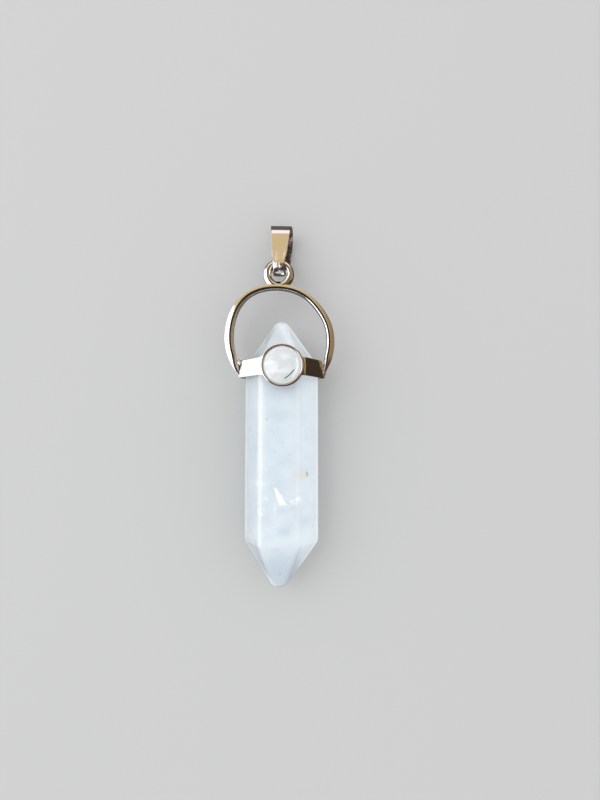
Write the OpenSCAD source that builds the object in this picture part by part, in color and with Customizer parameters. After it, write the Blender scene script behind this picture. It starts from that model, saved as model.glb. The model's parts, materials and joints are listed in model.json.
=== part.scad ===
// Quartz crystal pendant: a polished double point held in a hexagonal collar, with a round
// cabochon on its front, a hoop over its upper point and a bail that swings on the hoop's eye.
// It lies on its back: +Z is its front, +Y points to the bail, and Z = 0 is what it rests on.
// Sizes are in millimetres. The setting and the crystal are drawn about the crystal's axis,
// with Y = 0 at the middle of the collar, and are then laid down as they come to rest.

/* [Quartz point] */
// Width across the rounded corners at the collar
crystal_w = 12.2; // [11.6:0.1:12.4]
// How much wider the crystal is at its lower shoulders
crystal_flare = 0.1; // [0:0.05:0.4]
// Length of the six-sided body between its shoulders
body_len = 28.45; // [22:0.05:34]
// How far the upper shoulders sit above the middle of the collar
shoulder_lift = 0.3; // [0:0.1:1]
// Height of the upper point above its shoulders
upper_point = 7.7; // [7:0.1:8.8]
// Height of the lower point below its shoulders
lower_point = 7.95; // [6:0.1:10]
// Radius of the polished edges
edge_r = 0.9; // [0.5:0.05:1.2]
// Radius of the upper tip
upper_tip_r = 1.6; // [1.2:0.1:2.6]
// Radius of the lower tip
lower_tip_r = 1.9; // [1:0.1:2.4]
// How far the lower tip sits off the axis, to the left
tip_offset = 0.42; // [0:0.02:0.8]
// Turn of the crystal in its collar, in degrees
crystal_turn = 5.5; // [0:0.5:6]

/* [Collar and cup] */
// Height of the collar along the crystal
collar_h = 2.95; // [2:0.05:4]
// Distance between opposite outer sides of the collar
collar_across = 12.73; // [12.7:0.01:13.4]
// Thickness of the collar's wall
collar_wall = 0.5; // [0.4:0.05:0.6]
// Outer diameter of the cabochon's cup
cup_d = 6.7; // [5.5:0.05:7]
// Thickness of the cup's wall
cup_wall = 0.34; // [0.2:0.02:0.4]
// Height of the cup's rim above the collar
cup_rise = 1.55; // [1:0.05:2]

/* [Hoop and eye] */
// Outer radius of the hoop
hoop_r = 9.1; // [8.9:0.05:9.5]
// Height of the hoop's centre above the middle of the collar
hoop_y = 5.2; // [5:0.1:5.6]
// How far the hoop's centre sits off the axis, to the left
hoop_offset = 0.45; // [0:0.05:0.5]
// Radial thickness of the hoop at its sides
hoop_side_t = 1.26; // [1:0.02:1.5]
// How much thicker the hoop is at its left side
hoop_left_t = 0.24; // [0:0.02:0.3]
// Radial thickness of the hoop at its top
hoop_top_t = 0.9; // [0.7:0.02:1.1]
// Depth of the hoop from front to back
hoop_depth = 1.5; // [1.2:0.1:2]
// How far the hoop bulges at its upper left shoulder
hoop_bulge = 0.5; // [0:0.05:0.6]
// How far the hoop is pressed in at its upper right shoulder
hoop_press = 0.16; // [0:0.02:0.2]
// How far the right side of the hoop spreads towards its foot
hoop_spread = 0.52; // [0:0.02:0.6]
// Outer diameter of the eye ring
eye_d = 5.2; // [5:0.05:5.5]
// Diameter of the hole in the eye ring
eye_hole = 2.5; // [2.4:0.05:2.7]
// Height of the eye's centre above the top of the hoop
eye_lift = 1.7; // [1.6:0.05:1.9]
// How far the eye's centre sits off the axis, to the left
eye_offset = 0.55; // [0:0.05:0.7]

/* [Cabochon] */
// Clearance round the stone in its cup
stone_gap = 0.04; // [0.02:0.01:0.08]
// Height of the stone's dome above the cup's rim
dome_h = 1.0; // [0.5:0.05:1.4]

/* [Bail] */
// Distance from the swing axis to the centre of the wide end
bail_len = 5.65; // [5.4:0.05:6.4]
// Inner radius of the narrow bend, round the swing axis
bail_small_r = 1.25; // [1.25:0.01:1.3]
// Inner radius of the wide end, where the chain passes
bail_big_r = 2.95; // [2.6:0.05:3.2]
// Thickness of the strip
strip_t = 0.45; // [0.4:0.01:0.5]
// Width of the strip at the far side of its wide end
strip_wide = 3.86; // [3.4:0.02:4]
// Width of the strip just above its narrow bend
strip_neck = 2.46; // [2.2:0.02:2.5]
// Width of the strip at the swing axis
strip_mid = 2.1; // [1.8:0.02:2.16]
// Width of the strip at the bottom of its narrow bend
strip_low = 1.74; // [1.4:0.02:1.8]
// Turn of the bail about its own length, in degrees
bail_turn = 5; // [0:0.5:6]
// Lean of the bail to the right, in degrees
bail_lean = 4.5; // [0:0.5:5]
// How far the bail hangs to the right of the eye's middle
bail_shift = 0.1; // [0:0.02:0.12]

/* [Hidden] */
$fn = 64;

// Collar, cup and stone heights, measured from the crystal's axis
collar_out = collar_across / 2;
collar_in = collar_out - collar_wall;
corner_r = collar_out / cos(30);
corner_trim = 0.1;
cup_inset = 0.09;
cup_floor_t = 0.15;
rim_lip = 0.12;
cup_floor = collar_in + cup_inset;
cup_seat = collar_out + cup_floor_t;
cup_top = collar_out + cup_rise;
stone_r = cup_d / 2 - cup_wall - stone_gap;
stone_base = cup_seat + stone_gap;
girdle_top = cup_top - rim_lip;
dome_rise = cup_top + dome_h - girdle_top;
dome_r = (stone_r * stone_r + dome_rise * dome_rise) / (2 * dome_rise);

// Crystal: edge balls stand on two rings of six, and one ball forms each tip
upper_ring = crystal_w / 2 - edge_r;
lower_ring = upper_ring + crystal_flare / 2;
upper_ring_y = shoulder_lift;
lower_ring_y = upper_ring_y - body_len;
upper_tip_y = upper_ring_y + upper_point - upper_tip_r;
lower_tip_y = lower_ring_y - lower_point + lower_tip_r;

// Hoop: angles run from the right foot over the top to the left foot
foot_right = -40.5;
foot_left = 221;
hoop_steps = 54;
foot_taper = 22;
foot_t = 0.36;
foot_depth = 0.8;
foot_reach = 0.43;
foot_reach_spread = 3.1;
bulge_at = 127;
bulge_spread = 20;
press_at = 38;
press_spread = 12;
spread_at = -45;
side_spread = 33;
thick_at = 165;
thick_spread = 35;
// Section of the hoop: a low dome in front of a flat back, deepest at this share of its thickness
// from the outside. Its corners are shares of the thickness too.
crest = 0.62;
front_r = 1.36;
outer_part = 0.09;
inner_part = 0.22;
back_part = 0.18;
hoop_x = -hoop_offset;
hoop_angles = [for (i = [0:hoop_steps]) foot_right + (foot_left - foot_right) * i / hoop_steps];

function swell(a, mid, spread) = exp(-pow((a - mid) / spread, 2) / 2);
function ease(u) = let (v = max(0, min(1, u))) v * v * (3 - 2 * v);
// 1 along the hoop, falling to 0 at both feet
function foot_fade(a) = ease(min(a - foot_right, foot_left - a) / foot_taper);
function hoop_out(a) = hoop_r + hoop_bulge * swell(a, bulge_at, bulge_spread)
    - hoop_press * swell(a, press_at, press_spread) + hoop_spread * swell(a, spread_at, side_spread)
    + foot_reach * swell(a, foot_right, foot_reach_spread);
function hoop_full_t(a) = hoop_top_t + (hoop_side_t - hoop_top_t) * (1 - max(0, sin(a)))
    + hoop_left_t * swell(a, thick_at, thick_spread);
function hoop_t(a) = foot_t + (hoop_full_t(a) - foot_t) * foot_fade(a);
function hoop_half(a) = (foot_depth + (hoop_depth - foot_depth) * foot_fade(a)) / 2;
function hoop_point(a, r, z) = [hoop_x + r * cos(a), hoop_y + r * sin(a), z];
function arc(x, z, r, from, to, steps) =
    [for (i = [0:steps]) let (b = from + (to - from) * i / steps) [x + r * cos(b), z + r * sin(b)]];
// Outline for a thickness t and half a depth h, as steps outwards from the crest and forwards
function hoop_section(t, h) =
    let (outer_r = outer_part * t, inner_r = inner_part * t, back_r = back_part * t,
        outer_x = crest * t - outer_r, inner_x = inner_r - (1 - crest) * t,
        outer_b = acos(outer_x / (front_r - outer_r)), inner_b = acos(inner_x / (front_r - inner_r)),
        dome_z = h - front_r)
    concat(
        arc(crest * t - back_r, back_r - h, back_r, -90, 0, 1),
        arc(outer_x, dome_z + (front_r - outer_r) * sin(outer_b), outer_r, 0, outer_b, 1),
        [for (i = [1:5]) let (b = outer_b + (inner_b - outer_b) * i / 6)
            [front_r * cos(b), dome_z + front_r * sin(b)]],
        arc(inner_x, dome_z + (front_r - inner_r) * sin(inner_b), inner_r, inner_b, 180, 2),
        arc(back_r - (1 - crest) * t, back_r - h, back_r, 180, 270, 1));

// Eye ring: its wire sinks into the top of the hoop, in a bed of solder
wire_r = (eye_d - eye_hole) / 4;
eye_r = (eye_d + eye_hole) / 4;
eye_x = -eye_offset;
eye_y = hoop_y + hoop_out(90) + eye_lift;
hoop_cut = 0.05;
bed_w = 4.2;
bed_depth = 1.2;
bed_foot = hoop_y + hoop_out(90) - crest * hoop_t(90);
bed_top = eye_y - 1.1;
flare_r = bed_w / 2;
flare_x = bed_w / 2 + 1.5;
flare_y = bed_top + 0.75;

// Drops of solder at the hoop's feet
drop_r = 0.48;
drop_in = 0.22;
drop_down = 0.3;

// Rest: the collar's lower back edge and the crystal's lower back corner touch the surface
low_corner_z = -lower_ring * sin(60 + crystal_turn);
reach_y = -lower_ring_y - collar_h / 2;
reach_z = low_corner_z + collar_out;
pitch = atan(reach_z / reach_y) - asin(edge_r / norm([reach_y, reach_z]));
axis_z = collar_h / 2 * sin(pitch) + collar_out * cos(pitch);

// Swing axis of the bail, just inside the eye's wire, in the setting's frame and laid down
swing_inset = 0.5;
swing_y = eye_y + eye_r - swing_inset;
swing_at = [eye_x + bail_shift, swing_y * cos(pitch), axis_z + swing_y * sin(pitch)];
bail_small_out = bail_small_r + strip_t;
bail_big_out = bail_big_r + strip_t;

// Beyond its neck the strip widens evenly, by this much a side for each millimetre
neck_y = 0.7;
far_y = bail_len + bail_big_out;
side_gain = (strip_wide - strip_neck) / 2 / (far_y - neck_y);

// How far the wide end reaches from the swing axis, towards a direction in the bail's own axes
function end_reach(x, y, z) = let (along = y + side_gain * abs(x))
    bail_len * along + bail_big_out * norm([along, z]) + (strip_neck / 2 - side_gain * neck_y) * abs(x);

// The bail slopes down until its wide end touches the surface
function low_reach(slope) =
    end_reach(sin(bail_turn) * cos(slope), sin(slope), cos(bail_turn) * cos(slope));
function settle(slope, rounds) = rounds == 0 ? slope
    : settle(asin(sin(slope) + (swing_at[2] - low_reach(slope)) / bail_len), rounds - 1);
bail_slope = settle(35, 12);

// Middle of the whole object, so that it stands over the origin
hoop_xs = [for (a = hoop_angles) hoop_x + hoop_out(a) * cos(a)];
mid_x = (max(hoop_xs) + min(hoop_xs)) / 2;
low_y = lower_tip_y * cos(pitch) - lower_tip_r;
high_y = swing_at[1] + end_reach(
    -sin(bail_lean) * cos(bail_turn) + cos(bail_lean) * sin(bail_turn) * sin(bail_slope),
    cos(bail_lean) * cos(bail_slope),
    sin(bail_lean) * sin(bail_turn) + cos(bail_lean) * cos(bail_turn) * sin(bail_slope));
mid_y = (low_y + high_y) / 2;

module centred() { translate([-mid_x, -mid_y, 0]) children(); }
module laid_down() { centred() translate([0, 0, axis_z]) rotate([pitch, 0, 0]) children(); }

// A prism along Y, centred, from a shape drawn in the X and Z plane
module along_crystal(height) { rotate([90, 0, 0]) linear_extrude(height, center = true) children(); }

module quartz_point() {
    color([0.88, 0.93, 0.97])
    laid_down()
    hull() {
        for (k = [0:5]) {
            turn = 60 * k + crystal_turn;
            translate([upper_ring * cos(turn), upper_ring_y, upper_ring * sin(turn)])
                sphere(edge_r, $fn = 32);
            translate([lower_ring * cos(turn), lower_ring_y, lower_ring * sin(turn)])
                sphere(edge_r, $fn = 32);
        }
        translate([0, upper_tip_y, 0]) sphere(upper_tip_r, $fn = 48);
        translate([-tip_offset, lower_tip_y, 0]) sphere(lower_tip_r, $fn = 40);
    }
}

// Hexagonal band round the crystal, its corners just rounded off
module collar() {
    along_crystal(collar_h) difference() {
        intersection() {
            circle(corner_r, $fn = 6);
            circle(corner_r - corner_trim);
        }
        circle(collar_in / cos(30), $fn = 6);
    }
}

// Cup on the front of the collar, open to the front
module cup() {
    difference() {
        translate([0, 0, cup_floor]) cylinder(d = cup_d, h = cup_top - cup_floor);
        translate([0, 0, cup_seat]) cylinder(r = cup_d / 2 - cup_wall, h = cup_top);
    }
}

// Flat-backed wire with a low domed front, thin at the top and tapered at both feet
module hoop() {
    rows = len(hoop_angles);
    cols = len(hoop_section(hoop_side_t, hoop_depth / 2));
    points = [for (a = hoop_angles) for (p = hoop_section(hoop_t(a), hoop_half(a)))
        hoop_point(a, hoop_out(a) - crest * hoop_t(a) + p[0], p[1])];
    sides = [for (i = [0:rows - 2]) for (j = [0:cols - 1])
        let (k = (j + 1) % cols)
        [i * cols + j, i * cols + k, (i + 1) * cols + k, (i + 1) * cols + j]];
    first = [[for (j = [cols - 1:-1:0]) j]];
    last = [[for (j = [0:cols - 1]) (rows - 1) * cols + j]];
    polyhedron(points, concat(sides, first, last), convexity = 6);
}

// Ring on top of the hoop, on a flared bed of solder
module eye() {
    difference() {
        union() {
            translate([eye_x, eye_y, 0]) rotate_extrude() translate([eye_r, 0]) circle(wire_r, $fn = 32);
            solder_bed();
        }
        translate([hoop_x, hoop_y, 0])
            cylinder(r = hoop_out(90) - hoop_t(90) + hoop_cut, h = 2 * hoop_depth, center = true);
    }
}

module solder_bed() {
    difference() {
        translate([eye_x - bed_w / 2, bed_foot, -bed_depth / 2])
            cube([bed_w, bed_top - bed_foot, bed_depth]);
        for (side = [-1, 1])
            translate([eye_x + side * flare_x, flare_y, 0])
                cylinder(r = flare_r, h = 2 * bed_depth, center = true);
        translate([eye_x, eye_y, 0]) cylinder(d = eye_hole, h = 2 * bed_depth, center = true);
    }
}

// Drops of solder where the hoop's feet meet the collar's corners
module foot_solder() {
    for (side = [-1, 1])
        translate([side * (corner_r - drop_in), collar_h / 2 - drop_down, 0])
            rotate([0, 90, 0]) sphere(drop_r);
}

module setting() {
    color([0.8, 0.78, 0.74])
    laid_down()
    union() {
        collar();
        cup();
        hoop();
        eye();
        foot_solder();
    }
}

module cabochon() {
    color([0.93, 0.93, 0.92])
    laid_down()
    rotate_extrude()
    intersection() {
        translate([0, stone_base]) square([stone_r, girdle_top + dome_rise - stone_base]);
        translate([0, girdle_top + dome_rise - dome_r]) circle(dome_r, $fn = 96);
    }
}

// Two circles joined by their outer tangents, drawn along +Y
module drop_shape(small_r, big_r, length) {
    lift = asin((big_r - small_r) / length);
    circle(small_r);
    translate([0, length]) circle(big_r);
    polygon([
        [small_r * cos(lift), -small_r * sin(lift)],
        [big_r * cos(lift), length - big_r * sin(lift)],
        [-big_r * cos(lift), length - big_r * sin(lift)],
        [-small_r * cos(lift), -small_r * sin(lift)]]);
}

// A tapered strip bent into a drop: its narrow bend is concentric with the swing axis
module bail() {
    tall = far_y + 1;
    tall_half = strip_wide / 2 + side_gain;
    color([0.8, 0.76, 0.68])
    centred() translate(swing_at)
    rotate([0, 0, -bail_lean]) rotate([-bail_slope, 0, 0]) rotate([0, -bail_turn, 0])
    intersection() {
        rotate([90, 0, 90]) linear_extrude(2 * strip_wide, center = true) difference() {
            rotate(-90) drop_shape(bail_small_out, bail_big_out, bail_len);
            rotate(-90) drop_shape(bail_small_r, bail_big_r, bail_len);
        }
        linear_extrude(4 * bail_big_out, center = true) polygon([
            [-strip_low / 2, -bail_small_out - 0.1], [strip_low / 2, -bail_small_out - 0.1],
            [strip_mid / 2, 0], [strip_neck / 2, neck_y], [tall_half, tall],
            [-tall_half, tall], [-strip_neck / 2, neck_y], [-strip_mid / 2, 0]]);
    }
}

quartz_point();
setting();
cabochon();
bail();
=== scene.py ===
# %% [markdown]
# A quartz crystal pendant lies on its back on a pale floor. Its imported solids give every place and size.
# This lesson models each piece again over its solid, with the fine edges that catch the light, and gives
# each one a finish: milky quartz, bright plating and a milky cabochon.

# %% Load the frame
import json
import math

import bmesh
import bpy
from mathutils import Matrix, Vector


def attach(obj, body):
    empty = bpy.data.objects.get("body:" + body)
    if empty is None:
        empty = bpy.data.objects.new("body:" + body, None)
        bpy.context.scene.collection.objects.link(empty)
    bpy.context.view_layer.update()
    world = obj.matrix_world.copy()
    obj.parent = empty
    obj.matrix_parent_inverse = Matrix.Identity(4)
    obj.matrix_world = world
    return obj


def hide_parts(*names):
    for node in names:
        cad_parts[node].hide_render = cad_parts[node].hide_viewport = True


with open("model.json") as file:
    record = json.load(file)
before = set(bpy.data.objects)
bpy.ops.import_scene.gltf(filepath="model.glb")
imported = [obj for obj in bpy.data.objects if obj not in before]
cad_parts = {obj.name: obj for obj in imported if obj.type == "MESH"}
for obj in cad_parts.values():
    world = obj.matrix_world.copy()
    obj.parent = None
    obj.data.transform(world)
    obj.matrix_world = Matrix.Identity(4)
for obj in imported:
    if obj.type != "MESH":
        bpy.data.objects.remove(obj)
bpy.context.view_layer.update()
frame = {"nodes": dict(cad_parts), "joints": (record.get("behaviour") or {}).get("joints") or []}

SWING = frame["joints"][0]
print("Nodes:", sorted(frame["nodes"]))

# %% [markdown]
# The camera comes first, because every later choice is judged through it. The picture was taken from
# close above with a wide lens, so pieces near the lens look larger. The view is nearly straight down, where
# "up" is not the world's Z, so the camera's three axes are worked out from its own place and aim.

# %% Camera
MM = 0.001
LENS_AT = Vector((-0.9719, -6.4287, 107.0)) * MM
LENS_AIM = Vector((3.4281, 0.1713, 6.4)) * MM
HALF_VIEW = 0.665  # tangent of half the angle of view, along the picture's long side
SENSOR = 36.0

view_data = bpy.data.cameras.new("view")
view_data.sensor_width = SENSOR
view_data.lens = SENSOR / 2 / HALF_VIEW
view_data.clip_start = 1 * MM
view = bpy.data.objects.new("view", view_data)
bpy.context.scene.collection.objects.link(view)
ahead = (LENS_AIM - LENS_AT).normalized()
across = ahead.cross(Vector((0, 1, 0))).normalized()
upward = across.cross(ahead)
turned = Matrix((across, upward, -ahead)).transposed().to_4x4()
view.matrix_world = Matrix.Translation(LENS_AT) @ turned
bpy.context.scene.camera = view
print("Lens:", round(view_data.lens, 2), "mm,", round((LENS_AIM - LENS_AT).length / MM, 1), "mm away")

# %% [markdown]
# Every pattern here is a formula on places and noises. Written as nodes one by one, a formula is hard to
# read, so a small class wraps an output socket and gives it Python's sums. A sum on a Wire adds the Math
# node that does it. All other nodes come from one method, which sets a node's choices and then its inputs.

# %% Shader sums
class Wire:
    def __init__(self, graph, socket):
        self.graph = graph
        self.socket = socket

    def __add__(self, other):
        return self.graph.maths("ADD", self, other)

    def __radd__(self, other):
        return self.graph.maths("ADD", other, self)

    def __sub__(self, other):
        return self.graph.maths("SUBTRACT", self, other)

    def __rsub__(self, other):
        return self.graph.maths("SUBTRACT", other, self)

    def __mul__(self, other):
        return self.graph.maths("MULTIPLY", self, other)

    def __rmul__(self, other):
        return self.graph.maths("MULTIPLY", other, self)

    def __truediv__(self, other):
        return self.graph.maths("DIVIDE", self, other)

    def __pow__(self, other):
        return self.graph.maths("POWER", self, other)


class Graph:
    def __init__(self, tree):
        self.tree = tree
        tree.nodes.clear()

    def node(self, kind, settings=None, values=None, out=0):
        made = self.tree.nodes.new(kind)
        for name, setting in (settings or {}).items():
            setattr(made, name, setting)
        for place, value in (values or {}).items():
            if isinstance(value, Wire):
                self.tree.links.new(value.socket, made.inputs[place])
            else:
                made.inputs[place].default_value = value
        return Wire(self, made.outputs[out]) if made.outputs else None

    def maths(self, operation, *terms):
        return self.node("ShaderNodeMath", {"operation": operation}, dict(enumerate(terms)))

    def parts(self, vector):
        split = self.node("ShaderNodeSeparateXYZ", None, {0: vector}).socket.node
        return [Wire(self, split.outputs[k]) for k in range(3)]

    def rise(self, value, low, high):
        """0 below low, 1 above high and smooth between them."""
        return self.node("ShaderNodeMapRange", {"interpolation_type": "SMOOTHSTEP"},
                         {0: value, 1: low, 2: high})

    def fall(self, value, low, high):
        return 1 - self.rise(value, low, high)

    def blend(self, share, first, second):
        return self.node("ShaderNodeMix", {"data_type": "RGBA"}, {0: share, 6: first, 7: second}, 2)

    def noise(self, place, scale, detail=2.0, rough=0.5):
        return self.node("ShaderNodeTexNoise", None,
                         {"Vector": place, "Scale": scale, "Detail": detail, "Roughness": rough})

    def stretch(self, place, scale, turn=(0, 0, 0)):
        return self.node("ShaderNodeMapping", None, {"Vector": place, "Rotation": turn, "Scale": scale})


def colour(red, green, blue):
    return (red, green, blue, 1.0)


# %% [markdown]
# The pendant lies tilted a little, on the edge of its collar and a corner of its crystal. Its pieces are
# simpler to think of in the setting's own frame, in millimetres, with the crystal's axis along Y. Two
# matrices, worked out from how the solids lie, take a finished mesh to its place in metres. The same
# matrices bring a pattern's coordinates back, so marks stay on the crystal wherever the pendant lies.

# %% Frames of the setting and the bail
PITCH = math.radians(1.476)
AXIS_AT = Vector((0.3481, 5.2908, 6.4009))
BAIL_TURN = math.radians(5)
BAIL_SLOPE = math.radians(36.149)
BAIL_LEAN = math.radians(4.5)
SWING_AT = Vector(SWING["pos_m"]) / MM

SETTING_FRAME = Matrix.Scale(MM, 4) @ Matrix.Translation(AXIS_AT) @ Matrix.Rotation(PITCH, 4, "X")
BAIL_FRAME = (Matrix.Scale(MM, 4) @ Matrix.Translation(SWING_AT) @ Matrix.Rotation(-BAIL_LEAN, 4, "Z")
              @ Matrix.Rotation(-BAIL_SLOPE, 4, "X") @ Matrix.Rotation(-BAIL_TURN, 4, "Y"))


def in_frame(graph, placing):
    """Object coordinates brought back to a frame's own millimetres."""
    place = graph.node("ShaderNodeTexCoord", out=3)
    where, turn, size = placing.decompose()
    return graph.node("ShaderNodeMapping", {"vector_type": "TEXTURE"},
                      {"Vector": place, "Location": where, "Rotation": turn.to_euler(), "Scale": size})


# %% [markdown]
# The floor is plain and pale. The light is a soft key at the left, where the window was, over an even glow
# from the world. A small hard lamp would draw a sharp shadow, so the key is as wide as a window pane.

# %% Floor and key light
FLOOR_HALF = 3.0
FLOOR_TINT = colour(0.62, 0.62, 0.61)
FLOOR_ROUGH = 0.7
FLOOR_SHEEN = 0.2
KEY_AT = Vector((-0.38, 0.14, 0.60))
KEY_SIZE = 0.45
KEY_POWER = 0.9
KEY_TINT = (0.97, 0.99, 1.0)

bpy.ops.object.select_all(action="DESELECT")
bpy.ops.mesh.primitive_plane_add(size=2 * FLOOR_HALF)
floor = bpy.context.object
floor.name = "floor"
floor_paint = bpy.data.materials.new("floor_paint")
floor_paint.use_nodes = True
floor_shader = floor_paint.node_tree.nodes["Principled BSDF"]
floor_shader.inputs["Base Color"].default_value = FLOOR_TINT
floor_shader.inputs["Roughness"].default_value = FLOOR_ROUGH
floor_shader.inputs["Specular IOR Level"].default_value = FLOOR_SHEEN
floor.data.materials.append(floor_paint)
floor.visible_glossy = False

key_data = bpy.data.lights.new("window_key", "AREA")
key_data.size = KEY_SIZE
key_data.energy = KEY_POWER
key_data.color = KEY_TINT
key = bpy.data.objects.new("window_key", key_data)
bpy.context.scene.collection.objects.link(key)
key.location = KEY_AT
key.rotation_euler = KEY_AT.to_track_quat("Z", "Y").to_euler()
key.visible_glossy = False
print("Key light", round(KEY_AT.length, 2), "m away")

# %% [markdown]
# Bright plating shows nothing but what it mirrors, so mirror-like rays see a simple room of their own: warm
# walls, a bright window at the left, a dark ceiling patch above and a dark table below. A card or a lamp
# could stand for each of these, but a world that answers mirror rays alone leaves the floor's light even.
# A ray's direction is split into east, north and up, and these say what it meets. Every border of the room
# is a pair of numbers: where its soft edge begins and where it ends.

# %% Colours of the room
GLOW = colour(0.90, 0.91, 0.92)
BACKDROP = colour(0.78, 0.78, 0.77)
WALL = colour(0.70, 0.54, 0.31)
WALL_GLOW = colour(0.46, 0.34, 0.165)
WALL_SHADE = colour(0.31, 0.215, 0.115)
TABLE = colour(0.12, 0.112, 0.108)
TABLE_SHADE = colour(0.050, 0.034, 0.022)
NEAR_SIDE = colour(0.085, 0.045, 0.048)
CEILING_PATCH = colour(0.022, 0.020, 0.020)
WINDOW = colour(2.4, 2.5, 2.6)
WINDOW_FOOT = colour(1.2, 1.26, 1.28)
SKYLINE = colour(1.20, 1.04, 1.12)
SKYLINE_BLUE = colour(0.62, 0.66, 0.80)

world = bpy.data.worlds.new("studio")
bpy.context.scene.world = world
world.use_nodes = True
world.cycles.sampling_method = "NONE"
room = Graph(world.node_tree)
east, north, high = room.parts(room.node("ShaderNodeTexCoord", out=0))
west = 0 - east
south = 0 - north
print("Mirror rays are split by direction")

# %% Walls and table
WALL_DIMS, WALL_SLANT = (-0.15, 0.4), 0.6
GLOW_FROM, GLOW_TO = (0.3, 0.6), (0.25, 0.5)
NEAR_WALL, NEAR_TABLE = (0.04, 0.3), (0.3, 0.7)
TABLE_DIMS = (0.1, 0.6)
HORIZON = (-0.02, 0.06)

walls = room.blend(room.rise(east - north * WALL_SLANT, *WALL_DIMS), WALL, WALL_SHADE)
walls = room.blend(room.rise(east, *GLOW_FROM) * room.fall(high, *GLOW_TO), walls, WALL_GLOW)
walls = room.blend(room.rise(south, *NEAR_WALL), walls, NEAR_SIDE)
table = room.blend(room.rise(east, *TABLE_DIMS), TABLE, TABLE_SHADE)
table = room.blend(room.rise(south, *NEAR_TABLE), table, NEAR_SIDE)
seen = room.blend(room.rise(high, *HORIZON), table, walls)
print("Walls dim over", WALL_DIMS, "and the horizon is at", HORIZON)

# %% Sky in the far window
SKY_NORTH, SKY_FOOT, SKY_TOP = (0.55, 0.75), (0.03, 0.09), (0.43, 0.50)
BLUE_WEST, BLUE_NORTH, BLUE_FOOT, BLUE_TOP = (0.4, 0.5), (0.35, 0.5), (0.0, 0.06), (0.16, 0.24)

sky = room.rise(north, *SKY_NORTH) * room.rise(high, *SKY_FOOT) * room.fall(high, *SKY_TOP)
seen = room.blend(sky, seen, SKYLINE)
blue = room.rise(west, *BLUE_WEST) * room.rise(north, *BLUE_NORTH)
seen = room.blend(blue * room.rise(high, *BLUE_FOOT) * room.fall(high, *BLUE_TOP), seen, SKYLINE_BLUE)
print("Sky is seen from", SKY_FOOT[0], "to", SKY_TOP[1])

# %% Left window and the patch overhead
PANE_WEST = (0.12, 0.22)
PANE_SOUTH, SOUTH_SLANT = (-0.05, 0.12), 0.75
PANE_NORTH, NORTH_SLANT = (-0.05, 0.15), 1.1
PANE_TOP, TOP_SLANT = (-0.08, 0.08), 3.0
FOOT_END = (-0.72, -0.6)
PATCH_EAST, PATCH_LOW = (0.12, 0.2), (0.6, 0.7)
PATCH_NORTH, PATCH_SOUTH = (0.32, 0.42), (-0.3, -0.15)

leftward = room.rise(west, *PANE_WEST) * room.rise(south - east * SOUTH_SLANT, *PANE_SOUTH)
leftward = leftward * room.rise(north - east * NORTH_SLANT, *PANE_NORTH)
below_top = west * TOP_SLANT - high
pane = leftward * room.rise(below_top, *PANE_TOP) * room.rise(high, *HORIZON)
foot = leftward * room.fall(high, *HORIZON) * room.rise(high, *FOOT_END)
seen = room.blend(foot, seen, WINDOW_FOOT)
seen = room.blend(pane, seen, WINDOW)
patch = room.fall(below_top, *PANE_TOP) * room.fall(east, *PATCH_EAST) * room.rise(high, *PATCH_LOW)
patch = patch * room.fall(north, *PATCH_NORTH) * room.rise(north, *PATCH_SOUTH)
seen = room.blend(patch, seen, CEILING_PATCH)
print("Window begins", PANE_WEST[0], "to the west")

# %% World
rays = room.node("ShaderNodeLightPath").socket.node
is_camera = Wire(room, rays.outputs["Is Camera Ray"])
is_glossy = Wire(room, rays.outputs["Is Glossy Ray"])
light = room.blend(is_camera, GLOW, BACKDROP)
light = room.blend(is_glossy, light, seen)
room.node("ShaderNodeOutputWorld", None, {0: room.node("ShaderNodeBackground", None, {0: light})})
bpy.context.scene.view_settings.view_transform = "Standard"
print("World nodes:", len(world.node_tree.nodes))

# %% [markdown]
# All pieces are modelled with the same few moves, so these come as helpers: start a piece with a primitive,
# pick vertices, edges or faces by their place, finish a modifier, and lay the finished piece down. Picking
# by place is what a hand does with a box select, and it still works when a size changes. A bent piece is a
# loft: outlines are drawn across its path one after another, and bridged into one skin.

# %% Modelling helpers
SHARP = math.radians(30)
ROUNDED = math.radians(60)
NEAR = 0.01
TINY = 0.0001


def start(name, add, **size):
    """A new piece that starts as a primitive, open in edit mode with all of it selected."""
    bpy.ops.object.select_all(action="DESELECT")
    add(**size)
    piece = bpy.context.object
    piece.name = name
    piece.data.name = name
    bpy.ops.object.transform_apply(location=True, rotation=True, scale=True)
    bpy.ops.object.mode_set(mode="EDIT")
    bpy.ops.mesh.select_all(action="SELECT")
    return piece


def pick(piece, kind, test):
    """Selects the vertices, edges or faces whose middle passes the test, and nothing else."""
    mesh = bmesh.from_edit_mesh(piece.data)
    for group in (mesh.verts, mesh.edges, mesh.faces):
        for element in group:
            element.select_set(False)
    mesh.select_mode = {kind}
    chosen = {"VERT": mesh.verts, "EDGE": mesh.edges, "FACE": mesh.faces}[kind]
    for element in chosen:
        corners = [element.co] if kind == "VERT" else [corner.co for corner in element.verts]
        if test(sum(corners, Vector()) / len(corners), element):
            element.select_set(True)
    mesh.select_flush_mode()
    bmesh.update_edit_mesh(piece.data)


def modify(piece, kind, **settings):
    """Adds a modifier, sets it and applies it at once."""
    modifier = piece.modifiers.new(kind.lower(), kind)
    for name, setting in settings.items():
        setattr(modifier, name, setting)
    bpy.ops.object.select_all(action="DESELECT")
    bpy.context.view_layer.objects.active = piece
    piece.select_set(True)
    bpy.ops.object.modifier_apply(modifier=modifier.name)


def round_edges(piece, width, steps=3, angle=SHARP):
    modify(piece, "BEVEL", width=width, segments=steps, limit_method="ANGLE", angle_limit=angle)


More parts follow.
